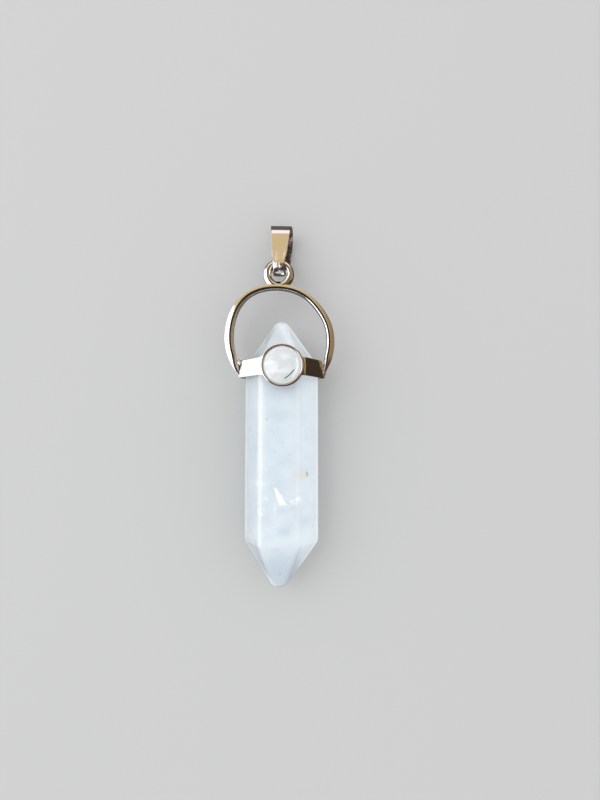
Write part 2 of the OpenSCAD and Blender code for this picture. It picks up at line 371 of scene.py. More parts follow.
def smooth(piece, angle):
    """Shades the piece smooth, with its broad faces kept flat."""
    bpy.ops.object.select_all(action="DESELECT")
    bpy.context.view_layer.objects.active = piece
    piece.select_set(True)
    bpy.ops.object.shade_smooth_by_angle(angle=angle)
    modify(piece, "WEIGHTED_NORMAL", keep_sharp=True)


def lay_down(piece, placing, body, node, finish):
    """Puts a finished piece in its place, with the place in its mesh, and gives it its finish."""
    bpy.ops.object.select_all(action="DESELECT")
    bpy.context.view_layer.objects.active = piece
    piece.select_set(True)
    piece.matrix_world = placing @ piece.matrix_world
    bpy.ops.object.transform_apply(location=True, rotation=True, scale=True)
    piece.data.materials.clear()
    piece.data.materials.append(finish)
    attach(piece, body)
    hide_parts(node)
    print(piece.name, len(piece.data.polygons), "faces,",
          [round(side / MM, 2) for side in piece.dimensions], "mm")


def start_loft(name):
    """An empty new piece in edit mode, ready for its sections."""
    piece = start(name, bpy.ops.mesh.primitive_circle_add, vertices=3, radius=1)
    bpy.ops.mesh.delete(type="VERT")
    return piece


def add_oval(middle, sideways, outward, width, height, sides):
    """One closed oval across the path."""
    axes = Matrix((sideways, outward, sideways.cross(outward))).transposed()
    first = Matrix.Rotation(math.pi / sides, 3, "Z")
    bpy.ops.mesh.primitive_circle_add(vertices=sides, radius=0.5, location=middle,
                                      rotation=(axes @ first).to_euler())
    bpy.ops.transform.resize(value=(width, height, 1), orient_matrix=axes, orient_type="GLOBAL",
                             orient_matrix_type="GLOBAL", center_override=middle)


def add_outline(piece, corners):
    """One closed outline across the path, drawn corner by corner."""
    bpy.ops.mesh.select_mode(type="VERT")
    bpy.ops.mesh.select_all(action="DESELECT")
    bpy.ops.mesh.primitive_circle_add(vertices=3, radius=NEAR, location=corners[0])
    bpy.ops.mesh.merge(type="CENTER")
    for here, there in zip(corners, corners[1:]):
        bpy.ops.mesh.extrude_region_move(TRANSFORM_OT_translate={"value": there - here})
    ends = (corners[0], corners[-1])
    pick(piece, "VERT", lambda at, vert: min((at - end).length for end in ends) < TINY)
    bpy.ops.mesh.edge_face_add()


def loft(piece, closed):
    """Joins all the section outlines of a piece in edit mode into one skin."""
    bpy.ops.mesh.select_mode(type="EDGE")
    bpy.ops.mesh.select_all(action="SELECT")
    bpy.ops.mesh.bridge_edge_loops(type="CLOSED" if closed else "SINGLE")
    if not closed:
        bpy.ops.mesh.select_all(action="SELECT")
        bpy.ops.mesh.fill_holes(sides=0)
    bpy.ops.mesh.select_all(action="SELECT")
    bpy.ops.mesh.normals_make_consistent(inside=False)
    bpy.ops.object.mode_set(mode="OBJECT")


def shader(name, **steady):
    """A new material, its graph and its Principled shader, with the inputs that stay the same set."""
    made = bpy.data.materials.new(name)
    made.use_nodes = True
    graph = Graph(made.node_tree)
    surface = graph.node("ShaderNodeBsdfPrincipled", None,
                         {title.replace("_", " "): value for title, value in steady.items()})
    graph.node("ShaderNodeOutputMaterial", None, {0: surface})
    return made, graph, surface.socket.node


def drive(graph, surface, **varying):
    """Links what changes over the surface to the shader's inputs."""
    for title, wire in varying.items():
        graph.tree.links.new(wire.socket, surface.inputs[title.replace("_", " ")])


# %% [markdown]
# Milky quartz is clear stone filled with veils and specks, so light sinks in and comes out soft. True
# glass with fog inside it would be slow and noisy, and one flat white would look like soap. Subsurface
# light gives the depth here, and the veils, the crack and the specks are laid over its colour from the
# crystal's own coordinates. Painted light is laid there too: painted shade at both points, painted
# highlights on the edges, a painted white in the crack, painted glints and a little painted glow. Each
# mark is a row in a short table with its place, size and strength.

# %% Quartz colours
QUARTZ_BODY = colour(0.735, 0.80, 0.855)
QUARTZ_VEIL = colour(0.81, 0.87, 0.915)
QUARTZ_HAZE = colour(0.60, 0.67, 0.735)
# painted shade: the two points are darker where the dark ground shows through the thin stone
QUARTZ_CAP_SHADE = colour(0.60, 0.645, 0.68)
QUARTZ_TIP_SHADE = colour(0.57, 0.65, 0.73)
QUARTZ_EDGE_HIGHLIGHT = colour(0.95, 0.98, 1.0)
# white of painted light: the crack's painted reflection and the cabochon's painted crescent
PAINTED_LIGHT_WHITE = colour(1.0, 1.0, 1.0)
DARK = colour(0.0, 0.0, 0.0)
FAR_GLOW = colour(0.13, 0.145, 0.155)
GLINT_GLOW = colour(0.12, 0.125, 0.125)
SPECK_GREY = colour(0.36, 0.42, 0.46)
STAIN_TAN = colour(0.74, 0.70, 0.60)
STAIN_BROWN = colour(0.30, 0.24, 0.15)
QUARTZ_DEPTH = 6.0  # how far light runs inside the stone, in millimetres
QUARTZ_IOR = 1.544
FRONT_HALF = (0.5, 2.5)
SHAKE = 0.5  # how far the marks' borders are pushed about
SHAKE_X, SHAKE_Y, SHAKE_TURN = (1.1, 3.0), (1.3, 3.0), (0, 0, 1)  # scale and detail of two noises

quartz, stone, quartz_surface = shader(
    "quartz", Emission_Strength=1.0, Subsurface_Weight=0.85, Subsurface_Radius=(1.0, 1.0, 1.0),
    Subsurface_Scale=QUARTZ_DEPTH * MM, IOR=QUARTZ_IOR)
place = in_frame(stone, SETTING_FRAME)
x, y, z = stone.parts(place)
wx = x + (stone.noise(place, *SHAKE_X) - 0.5) * SHAKE
wy = y + (stone.noise(stone.stretch(place, (1, 1, 1), SHAKE_TURN), *SHAKE_Y) - 0.5) * SHAKE
front = stone.rise(z, *FRONT_HALF)


def spot(graph, across, along, mark, soft=0.9):
    """A soft oval mark of a table row, 1 at its middle and 0 outside it."""
    left, up, half_wide, half_tall, strength = mark
    reach = (((across - left) / half_wide) ** 2 + ((along - up) / half_tall) ** 2) ** 0.5
    return graph.fall(reach, 1 - soft, 1 + soft) * strength


print("Quartz lets light run", QUARTZ_DEPTH, "mm deep")

# %% Veils in the quartz, and painted shade at its points
# scale, detail and roughness of a noise
CLOUDS = (0.28, 5.0, 0.6)
WISPS = (0.9, 5.0, 0.65)
WISP_GRAIN, WISP_TURN = (0.3, 1.1, 0.5), (0.2, 0.1, 0.35)
# where a noise begins and ends to count, and how strongly it tints
CLOUD_VEIL, VEIL_SHARE = (0.42, 0.68), 0.55
CLOUD_HAZE, HAZE_SHARE = (0.30, 0.46), 0.25
WISP_VEIL, WISP_SHARE = (0.55, 0.75), 0.35
# painted shade at the two points: where it begins, and how strongly it darkens
CAP_FROM, TIP_FROM, END_SHARE = (0.8, 2.4), (-33.5, -28.6), 0.85
CAP_CLOUD = (0.2, 4.0, 3.4, 0.7, 0.35)
BAND_AT, BAND_SLOPE, BAND_WIDTH, BAND_LEFT, BAND_SHARE = (1.0, -27.3), 0.27, (0.3, 1.3), (-3.5, -1.0), 0.45

clouds = stone.noise(place, *CLOUDS)
wisps = stone.noise(stone.stretch(place, WISP_GRAIN, WISP_TURN), *WISPS)
tint = stone.blend(stone.rise(clouds, *CLOUD_VEIL) * VEIL_SHARE, QUARTZ_BODY, QUARTZ_VEIL)
tint = stone.blend(stone.fall(clouds, *CLOUD_HAZE) * HAZE_SHARE, tint, QUARTZ_HAZE)
tint = stone.blend(stone.rise(wisps, *WISP_VEIL) * WISP_SHARE, tint, QUARTZ_VEIL)
# painted shade at the upper and the lower point
tint = stone.blend(stone.rise(wy, *CAP_FROM) * END_SHARE, tint, QUARTZ_CAP_SHADE)
tint = stone.blend(stone.fall(wy, *TIP_FROM) * END_SHARE, tint, QUARTZ_TIP_SHADE)
tint = stone.blend(spot(stone, wx, wy, CAP_CLOUD), tint, QUARTZ_VEIL)
from_band = stone.maths("ABSOLUTE", wy - BAND_AT[1] - (wx - BAND_AT[0]) * BAND_SLOPE)
band = stone.fall(from_band, *BAND_WIDTH) * stone.rise(wx, *BAND_LEFT)
tint = stone.blend(band * BAND_SHARE, tint, QUARTZ_VEIL)
print("Veils drawn in", len(stone.tree.nodes), "nodes")

# %% Specks and stains in the quartz
# x, y, half width, half height, strength
SPECKS = [
    (-2.46, -8.35, 0.26, 0.12, 0.45), (-1.52, -10.25, 0.14, 0.10, 0.35), (-1.17, -10.73, 0.10, 0.16, 0.35),
    (0.16, -12.15, 0.20, 0.10, 0.35), (-1.19, -13.41, 0.16, 0.09, 0.25), (1.23, -14.05, 0.18, 0.10, 0.28),
    (3.78, -14.84, 0.12, 0.10, 0.2), (5.24, -17.37, 0.10, 0.14, 0.3), (5.08, -25.69, 0.14, 0.20, 0.35),
    (-0.26, -33.45, 0.30, 0.22, 0.25),
]
SMUDGES = [
    (0.93, -21.60, 0.40, 0.25, 0.5), (1.76, -22.39, 0.75, 0.35, 0.4), (0.03, -22.85, 0.80, 0.40, 0.35),
    (0.35, -26.13, 0.90, 0.70, 0.45), (-0.01, -7.72, 1.8, 0.9, 0.3), (3.6, -24.6, 0.9, 0.5, 0.3),
]
STAIN = (3.0, -17.2, 1.3, 0.7, 0.5)
STAIN_CORE = (4.05, -17.2, 0.16, 0.42, 0.8)
CRISP = 0.5

for mark in SMUDGES:
    tint = stone.blend(spot(stone, wx, wy, mark) * front, tint, QUARTZ_HAZE)
for mark in SPECKS:
    tint = stone.blend(spot(stone, wx, wy, mark, CRISP) * front, tint, SPECK_GREY)
tint = stone.blend(spot(stone, wx, wy, STAIN) * front, tint, STAIN_TAN)
tint = stone.blend(spot(stone, wx, wy, STAIN_CORE, CRISP) * front, tint, STAIN_BROWN)
print("Marks:", len(SPECKS), "specks and", len(SMUDGES), "smudges")

# %% [markdown]
# A polished edge of milky stone looks white, because light leaves it on two sides. The edges that frame the
# picture and the one beside the front face therefore get a painted highlight that grows with their distance
# from the middle.

# %% Painted highlights on the quartz's edges
HALF_WIDE, MIDDLE_X = 6.1, -0.05
POINT_FROM, POINT_SLOPE = -28.15, 0.66  # the lower point narrows by this much for each millimetre
CAP_STARTS, CAP_SLOPE = 0.4, 0.71
OVER, POINT_EARLY = (0.0, 0.3), 0.15
EDGE_WIDTH, EDGE_SHARE = (0.12, 0.55), 0.65
STRIPE_X, STRIPE_WIDTH, STRIPE_END, STRIPE_SHARE = -3.3, (0.3, 0.8), (-24.5, -6.0), 0.35

past_point = POINT_FROM - y
past_cap = y - CAP_STARTS
taper = (stone.rise(past_point + POINT_EARLY, *OVER) * past_point * POINT_SLOPE
         + stone.rise(past_cap, *OVER) * past_cap * CAP_SLOPE)
inset = HALF_WIDE - taper - stone.maths("ABSOLUTE", x - MIDDLE_X)
# painted highlight on the edges that frame the view
tint = stone.blend(stone.fall(inset, *EDGE_WIDTH) * EDGE_SHARE, tint, QUARTZ_EDGE_HIGHLIGHT)
# painted highlight along the edge beside the front face
edge_highlight = stone.fall(stone.maths("ABSOLUTE", wx - STRIPE_X), *STRIPE_WIDTH) * stone.rise(wy, *STRIPE_END)
tint = stone.blend(edge_highlight * STRIPE_SHARE, tint, QUARTZ_EDGE_HIGHLIGHT)
print("Edges whitened over", EDGE_WIDTH[1], "mm")

# %% [markdown]
# The crack is a flat break inside the stone that throws the window's light back, so its white is a painted
# reflection. It is a wedge that widens downwards, with a few painted glints beside it. Light that crosses
# the real stone comes out at the side away from the window, and following it would be slow. A little
# painted glow of the stone's own stands for it there and in the crack.

# %% Painted white of the crack, painted glints and painted glow in the quartz
CRACK_TOP = (-1.24, -19.0)
CRACK_LEAN, CRACK_WIDENS, CRACK_EDGE = 0.50, 0.15, (0.08, 0.34)
CRACK_STARTS, CRACK_ENDS = (0.0, 0.5), (2.7, 3.1)
SHARD_NOISE, SHARDS, CRACK_WHOLE = (3.2, 2.0), (0.42, 0.6), 0.5
# painted glints beside the crack
# x, y, half width, half height, strength
GLINTS = [
    (2.56, -21.1, 0.55, 0.50, 1.0), (1.75, -21.4, 0.45, 0.22, 0.8), (1.2, -21.9, 0.18, 0.12, 0.7),
    (-3.7, -18.6, 0.8, 0.4, 0.4), (-3.3, -23.0, 0.45, 0.6, 0.6), (-1.1, -22.3, 0.14, 0.8, 0.5),
    (-2.5, -21.0, 0.3, 0.3, 0.5), (4.7, -21.2, 0.2, 0.9, 0.4),
]
FAR_SIDE, FAR_FRONT, CAP_SPREAD = (2.0, 3.6), (-1.0, 1.0), 0.5

crack_run = CRACK_TOP[1] - wy
crack_off = stone.maths("ABSOLUTE", wx - CRACK_TOP[0] - crack_run * CRACK_LEAN)
crack_reflection = stone.fall(crack_off - crack_run * CRACK_WIDENS, *CRACK_EDGE)
crack_reflection = crack_reflection * stone.rise(crack_run, *CRACK_STARTS) * stone.fall(crack_run, *CRACK_ENDS) * front
shards = stone.rise(stone.noise(place, *SHARD_NOISE), *SHARDS)
bright = crack_reflection * (CRACK_WHOLE + shards * (1 - CRACK_WHOLE))
for mark in GLINTS:
    bright = stone.maths("MAXIMUM", bright, spot(stone, wx, wy, mark) * shards * front)
# painted reflection: the crack and the glints are painted white
tint = stone.blend(bright, tint, PAINTED_LIGHT_WHITE)
# painted glow on the side away from the window and in the crack, as emission
far_side = x + stone.maths("MAXIMUM", y, 0.0) * CAP_SPREAD
glow = stone.blend(stone.rise(far_side, *FAR_SIDE) * stone.rise(z, *FAR_FRONT), DARK, FAR_GLOW)
glow = stone.blend(bright, glow, GLINT_GLOW)
print("Glints:", len(GLINTS))

# %% Polish of the quartz
POLISH, POLISH_VARIES = 0.06, 0.10
WAVE, PIT = 1.0, 0.04  # heights, as parts of the relief's depth
# scale and detail of a noise
POLISH_NOISE, WAVE_NOISE, PIT_NOISE = (0.8, 3.0), (0.35, 2.0), (2.5, 2.0)
RELIEF_DEPTH, RELIEF_STRENGTH = 0.2, 0.35

polish = POLISH + stone.noise(place, *POLISH_NOISE) * POLISH_VARIES
ripple = stone.noise(place, *WAVE_NOISE) * WAVE + stone.noise(place, *PIT_NOISE) * PIT
relief = stone.node("ShaderNodeBump", None,
                    {"Strength": RELIEF_STRENGTH, "Distance": RELIEF_DEPTH * MM, "Height": ripple})
drive(stone, quartz_surface, Base_Color=tint, Roughness=polish, Normal=relief, Emission_Color=glow)
print("Quartz nodes:", len(stone.tree.nodes))

# %% [markdown]
# The setting and bail are cast or bent metal with a bright silver-coloured plating. Plating is smooth, but
# not perfect: handling leaves hair scratches and the polish leaves low waves, and both bend what it
# mirrors. The bail is bent from strip, so its scratches run along it. Both finishes come from one function,
# whose grain says how far the scratches are drawn out along each axis.

# %% Plated metal finishes
PLATING = colour(0.86, 0.84, 0.81)
PLATING_WORN = colour(0.70, 0.66, 0.60)
# scale, detail and roughness of a noise
SCRATCHES = (6.0, 3.0, 0.7)
WEAR, WORN, WORN_SHARE = (2.2, 4.0, 0.7), (0.52, 0.75), 0.4
LOW_WAVES = (0.9, 2.0)
GLOSS, WORN_GLOSS, SCRATCHED_GLOSS = 0.07, 0.08, 0.06
EVEN_GRAIN, LONG_GRAIN = (1.0, 1.0, 1.0), (3.0, 0.2, 3.0)
EMBOSS_DEPTH, EMBOSS_STRENGTH = 0.05, 0.5


def plated(name, placing, grain, scratchy, wavy):
    """A plated metal whose scratches follow a grain, and the height of its relief."""
    made, graph, surface = shader(name, Metallic=1.0)
    place = in_frame(graph, placing)
    scratches = graph.noise(graph.stretch(place, grain), *SCRATCHES)
    wear = graph.rise(graph.noise(place, *WEAR), *WORN)
    height = scratches * scratchy + graph.noise(place, *LOW_WAVES) * wavy
    drive(graph, surface, Base_Color=graph.blend(wear * WORN_SHARE, PLATING, PLATING_WORN),
          Roughness=GLOSS + wear * WORN_GLOSS + scratches * SCRATCHED_GLOSS)
    return made, graph, surface, place, height


def emboss(graph, surface, height):
    """Lets a height bend what the plating mirrors."""
    relief = graph.node("ShaderNodeBump", None,
                        {"Strength": EMBOSS_STRENGTH, "Distance": EMBOSS_DEPTH * MM, "Height": height})
    drive(graph, surface, Normal=relief)


plating, metal, metal_surface, place, height = plated(
    "plating", SETTING_FRAME, EVEN_GRAIN, scratchy=0.1, wavy=0.35)
emboss(metal, metal_surface, height)
print("Setting's finish:", plating.name)

# %% [markdown]
# Where the bail's strip was bent round the eye, its outer side shows fine folds that run along it. They are
# too small to model, so they are one more height in the bail's relief, and fade out up the strip.

# %% Folds near the bail's narrow bend
FOLD_GRAIN, FOLDS = (2.4, 0.25, 0.6), (1.5, 2.0, 0.5)
FOLDS_FADE, FOLDS_OUTSIDE, FOLD_HEIGHT = (0.9, 2.3), (0.2, 0.9), 5.0

bail_plating, strip, strip_surface, place, height = plated(
    "bail_plating", BAIL_FRAME, LONG_GRAIN, scratchy=0.015, wavy=0.0)
x, y, z = strip.parts(place)
folds = strip.noise(strip.stretch(place, FOLD_GRAIN), *FOLDS) - 0.5
folds = folds * strip.fall(y, *FOLDS_FADE) * strip.rise(z, *FOLDS_OUTSIDE)
emboss(strip, strip_surface, height + folds * FOLD_HEIGHT)
print("Bail's finish:", bail_plating.name)

# %% [markdown]
# The cabochon is a milky, nearly clear stone. Its dome shows a bright window, a pale crescent where light
# gathers on the far side, and one thin dark line, the edge of its base seen through the stone. These are
# painted and laid over its colour at fixed places in the stone, as the quartz marks are. The window is a
# painted reflection, the crescent and a few pale patches are painted highlights, and the line is a
# painted dark image of the base's edge.

# %% Cabochon finish
MILK = colour(0.74, 0.765, 0.775)
# paler milk for the clouds, and the white of the painted highlights
MILK_LIGHT = colour(0.95, 0.96, 0.96)
MILK_SHADE = colour(0.55, 0.575, 0.585)
# dark of the painted line, the base's edge seen through the dome
MILK_LINE = colour(0.16, 0.155, 0.15)
MILK_DEPTH = 1.2
MILK_IOR = 1.53
STONE_R = 2.97
MILK_SHAKE, MILK_SHAKE_NOISE = 0.35, (1.6, 4.0)
# scale, detail and roughness of a noise, and where it begins and ends to count
MILK_CLOUDS, CLOUDY, CLOUDY_SHARE = (0.7, 5.0, 0.6), (0.4, 0.7), 0.5
RIM_LIGHT, RIM_LIGHT_SHARE = (0.78, 0.97), 0.8
RIM_SHADE_IN, RIM_SHADE_OUT, RIM_SHADE_SHARE = (0.76, 0.80), (0.82, 0.88), 0.35
RIM_NOISE, RIM_PATCHY = (1.1, 2.0), (0.4, 0.6)

milk, dome, milk_surface = shader(
    "cabochon_stone", Emission_Strength=1.0, Subsurface_Weight=0.8, Subsurface_Radius=(1.0, 1.0, 1.0),
    Subsurface_Scale=MILK_DEPTH * MM, IOR=MILK_IOR)
place = in_frame(dome, SETTING_FRAME)
x, y, z = dome.parts(place)
wander = (dome.noise(place, *MILK_SHAKE_NOISE) - 0.5) * MILK_SHAKE
wx = x + wander
wy = y + wander
reach = (x ** 2 + y ** 2) ** 0.5
from_rim = reach * (1 / STONE_R)
tint = dome.blend(dome.rise(dome.noise(place, *MILK_CLOUDS), *CLOUDY) * CLOUDY_SHARE, MILK, MILK_LIGHT)
tint = dome.blend(dome.rise(from_rim, *RIM_LIGHT) * RIM_LIGHT_SHARE, tint, MILK_LIGHT)
rim_shade = dome.rise(from_rim, *RIM_SHADE_IN) * dome.fall(from_rim, *RIM_SHADE_OUT)
rim_patches = dome.rise(dome.noise(place, *RIM_NOISE), *RIM_PATCHY)
tint = dome.blend(rim_shade * rim_patches * RIM_SHADE_SHARE, tint, MILK_SHADE)
print("Cabochon lets light run", MILK_DEPTH, "mm deep")

# %% Lights in the cabochon
# painted highlights on the dome; the first is the painted reflection of the window
# x, y, half width, half height, strength
CABOCHON_HIGHLIGHTS = [
    (-2.0, 0.3, 0.50, 0.26, 1.0), (0.45, 1.3, 0.6, 0.4, 0.6), (-0.5, -1.06, 1.2, 0.24, 0.6),
    (-2.54, 0.0, 0.16, 0.30, 0.95), (-1.4, -2.2, 0.4, 0.2, 0.6), (0.75, -0.75, 0.6, 0.35, 0.35),
]
MIRRORED_WINDOW = (-2.1, 0.3, 0.55, 0.26, 1.0)
CRESCENT_IN, CRESCENT_OUT, CRESCENT_RIGHT, CRESCENT_TURN = (2.12, 2.25), (2.42, 2.56), (1.7, 2.1), 0.2
LINE_MIDDLE, LINE_R, LINE_WIDTH = (-1.9, 1.7), 4.42, (0.05, 0.13)
LINE_LEFT, LINE_RIGHT, LINE_TOP = (0.15, 0.5), (1.75, 2.05), (-0.9, -0.5)
BROKEN_NOISE, BROKEN = (2.4, 2.0), (0.3, 0.5)
MILK_POLISH, MILK_VARIES, MILK_POLISH_NOISE = 0.05, 0.05, (1.5, 2.0)
STRONG = 0.95

for mark in CABOCHON_HIGHLIGHTS:
    tint = dome.blend(spot(dome, wx, wy, mark), tint, MILK_LIGHT)
# painted highlight: the crescent where light gathers on the far side
crescent = dome.rise(reach, *CRESCENT_IN) * dome.fall(reach, *CRESCENT_OUT)
crescent = crescent * dome.rise(x - CRESCENT_TURN * y, *CRESCENT_RIGHT)
tint = dome.blend(crescent * STRONG, tint, PAINTED_LIGHT_WHITE)
lights = dome.maths("MAXIMUM", crescent, spot(dome, wx, wy, MIRRORED_WINDOW))
glow = dome.blend(lights * dome.rise(dome.noise(place, *BROKEN_NOISE), *BROKEN), DARK, GLINT_GLOW)
# painted dark line: the edge of the stone's base seen through the dome
bow = ((x - LINE_MIDDLE[0]) ** 2 + (y - LINE_MIDDLE[1]) ** 2) ** 0.5
line = dome.fall(dome.maths("ABSOLUTE", bow - LINE_R), *LINE_WIDTH) * dome.rise(x, *LINE_LEFT)
line = line * dome.fall(x, *LINE_RIGHT) * dome.fall(y, *LINE_TOP)
tint = dome.blend(line * STRONG, tint, MILK_LINE)
polish = MILK_POLISH + dome.noise(place, *MILK_POLISH_NOISE) * MILK_VARIES
drive(dome, milk_surface, Base_Color=tint, Roughness=polish, Emission_Color=glow)
print("Cabochon nodes:", len(dome.tree.nodes))

# %% [markdown]
# The crystal is a six-sided prism with a blunt point at each end, and polishing has rounded its edges. A
# prism could be bevelled, but a bevel has one width, while here the edges widen into the rounder tips. So a
# ball is set at every corner and tip, with the radius of the edges that meet there, and a skin is pulled
# tight over all of them. The flat faces stay flat and every edge is round. The lower corners have three balls
# each, close together, so that the sides turn into the point more softly.

# %% Crystal
# distance of the corner balls from the crystal's axis, place along it
RINGS = [(5.2, 0.3), (5.246, -27.65), (5.165, -28.27), (4.99, -28.55)]
EDGE_BALL = 0.9
# x, y, radius
UPPER_TIP = (0.0, 6.4, 1.6)
LOWER_TIP = (-0.42, -34.2, 1.9)
CRYSTAL_TURN = 5.5
BALL_STEPS = 72
FLAT = math.radians(0.3)
FACET = math.radians(20)


def ball(x, y, z, radius, turn):
    """The settings of a ball whose poles lie along the crystal."""
    return {"location": (x, y, z), "radius": radius, "rotation": (math.pi / 2, turn, 0),
            "segments": BALL_STEPS, "ring_count": BALL_STEPS // 2}


crystal = start("quartz_crystal", bpy.ops.mesh.primitive_uv_sphere_add,
                **ball(UPPER_TIP[0], UPPER_TIP[1], 0, UPPER_TIP[2], 0))
bpy.ops.mesh.primitive_uv_sphere_add(**ball(LOWER_TIP[0], LOWER_TIP[1], 0, LOWER_TIP[2], 0))
for ring_r, ring_y in RINGS:
    for corner in range(6):
        angle = math.radians(60 * corner + CRYSTAL_TURN)
        bpy.ops.mesh.primitive_uv_sphere_add(
            **ball(ring_r * math.cos(angle), ring_y, ring_r * math.sin(angle), EDGE_BALL,
                   -math.radians(CRYSTAL_TURN)))
bpy.ops.mesh.select_all(action="SELECT")
bpy.ops.mesh.convex_hull(join_triangles=False)
bpy.ops.mesh.select_all(action="SELECT")
bpy.ops.mesh.dissolve_limited(angle_limit=FLAT)
bpy.ops.object.mode_set(mode="OBJECT")
smooth(crystal, FACET)
lay_down(crystal, SETTING_FRAME, "pendant", "quartz_point", quartz)

# %% [markdown]
# The collar is a band of sheet bent round the crystal's six sides. It starts as an open six-sided
# cylinder, gets its thickness from Solidify and loses its sharp edges to a Bevel, because real plated
# edges are round and carry a bright line.

# %% Collar
COLLAR_H = 2.95
COLLAR_OUT = 12.73 / 2
COLLAR_WALL = 0.5
CORNER_R = COLLAR_OUT / math.cos(math.pi / 6)
TRIM = 0.06
COLLAR_EDGE = 0.16

collar = start("collar", bpy.ops.mesh.primitive_cylinder_add, vertices=6, radius=CORNER_R - TRIM,
               depth=COLLAR_H, end_fill_type="NOTHING", rotation=(math.pi / 2, math.pi / 6, 0))
bpy.ops.mesh.normals_make_consistent(inside=False)
bpy.ops.object.mode_set(mode="OBJECT")
modify(collar, "SOLIDIFY", thickness=COLLAR_WALL, offset=-1, use_even_offset=True)
round_edges(collar, COLLAR_EDGE, 4)
smooth(collar, SHARP)
lay_down(collar, SETTING_FRAME, "pendant", "setting", plating)

# %% [markdown]
# The cup is a short tube with a floor. A cylinder has both its ends closed, so its top face is inset by the
# wall's thickness and pushed down to the seat. Both edges of the rim are then bevelled into one round bead,
# pressed flatter, and its ridge is nudged to the left by a hair. On the real rim the left side looks golden
# inside the ridge and the right side outside it, and an off-centre ridge mirrors the room in that way.

# %% Cup
CUP_R = 6.7 / 2
CUP_WALL = 0.34
RIM_ROUND = 0.165
RIDGE_LEFT = 0.05
RIDGE_LEVELS = (0.1, 0.3, 0.5, 0.7)  # parts of the way up the bead
RIM_PRESSED = 0.6
CUP_FLOOR = COLLAR_OUT - COLLAR_WALL + 0.09
CUP_SEAT = COLLAR_OUT + 0.15
CUP_TOP = COLLAR_OUT + 1.55
ROUND_STEPS = 128


def runs_round(edge, radius):
    """Whether an edge lies on a circle of this radius round the Z axis."""
    return all(abs(corner.co.xy.length - radius) < NEAR for corner in edge.verts)


cup = start("cabochon_cup", bpy.ops.mesh.primitive_cylinder_add, vertices=ROUND_STEPS, radius=CUP_R,
            depth=CUP_TOP - CUP_FLOOR, location=(0, 0, (CUP_TOP + CUP_FLOOR) / 2))
pick(cup, "FACE", lambda at, face: face.normal.z > 0.9)
bpy.ops.mesh.inset(thickness=CUP_WALL)
bpy.ops.mesh.extrude_region_move(TRANSFORM_OT_translate={"value": (0, 0, CUP_SEAT - CUP_TOP)})
pick(cup, "EDGE", lambda at, edge: abs(at.z - CUP_TOP) < NEAR and
     (runs_round(edge, CUP_R) or runs_round(edge, CUP_R - CUP_WALL)))
bpy.ops.mesh.bevel(offset=RIM_ROUND, segments=8)
for level in RIDGE_LEVELS:
    pick(cup, "VERT", lambda at, vert: at.z > CUP_TOP - RIM_ROUND * (1 - level))
    bpy.ops.transform.translate(value=(-RIDGE_LEFT / len(RIDGE_LEVELS), 0, 0))
pick(cup, "VERT", lambda at, vert: at.z > CUP_TOP - RIM_ROUND - NEAR)
bpy.ops.transform.resize(value=(1, 1, RIM_PRESSED), center_override=(0, 0, CUP_TOP))
bpy.ops.object.mode_set(mode="OBJECT")
smooth(cup, SHARP)
lay_down(cup, SETTING_FRAME, "pendant", "setting", plating)

# %% [markdown]
# Solder has run out from the cup's foot over the front of the collar, and its slope catches the window on
# the left and the wall on the right. Its outline is drawn once and spun round the cup, like clay on a
# wheel, and the skirt that this makes is cut off level with the collar's two edges.

# %% Solder skirt round the cup
# radius, height above the collar's front
SKIRT = [
    (3.2, -0.06), (3.72, -0.06), (3.62, 0.03), (3.53, 0.10), (3.45, 0.18), (3.39, 0.28), (3.33, 0.40),
    (3.2, 0.40),
]
SKIRT_CUT = COLLAR_H / 2 - 0.04

skirt = start_loft("cup_solder")
add_outline(skirt, [Vector((reach, 0, COLLAR_OUT + rise)) for reach, rise in SKIRT])
bpy.ops.mesh.select_all(action="SELECT")
bpy.ops.mesh.delete(type="ONLY_FACE")
bpy.ops.mesh.select_all(action="SELECT")
bpy.ops.mesh.spin(steps=ROUND_STEPS, angle=2 * math.pi, center=(0, 0, 0), axis=(0, 0, 1))
bpy.ops.mesh.select_all(action="SELECT")
bpy.ops.mesh.remove_doubles(threshold=TINY)
for side in (-1, 1):
    bpy.ops.mesh.select_all(action="SELECT")
    bpy.ops.mesh.bisect(plane_co=(0, side * SKIRT_CUT, 0), plane_no=(0, side, 0), use_fill=True,
                        clear_outer=True)
bpy.ops.mesh.select_all(action="SELECT")
bpy.ops.mesh.normals_make_consistent(inside=False)
bpy.ops.object.mode_set(mode="OBJECT")
smooth(skirt, SHARP)
lay_down(skirt, SETTING_FRAME, "pendant", "setting", plating)

# %% [markdown]
# The hoop is flat-backed wire with a low domed front, thinner over the top and drawn out thin at both feet.
# Wire like this is a loft: one outline is drawn at each step round the hoop, sized for its own place, and
# all the outlines are bridged into one skin. The outline is made of arcs: a small radius at each corner of
# the flat back, a tighter one outside the dome and a softer one inside it. These arcs set how wide each
# bright and dark band on the real hoop looks, so the dome keeps one radius wherever the wire gets thinner.

# %% Hoop
HOOP_AT = Vector((-0.45, 5.2, 0))
HOOP_R = 9.1
HOOP_FEET = (-40.5, 221)
HOOP_STEPS = 84
HOOP_SIDE_T = 1.26
HOOP_LEFT_T = 0.24
HOOP_TOP_T = 0.9
HOOP_DEPTH = 1.5
FOOT_T = 0.36
FOOT_DEPTH = 0.8
FOOT_TAPER = 22
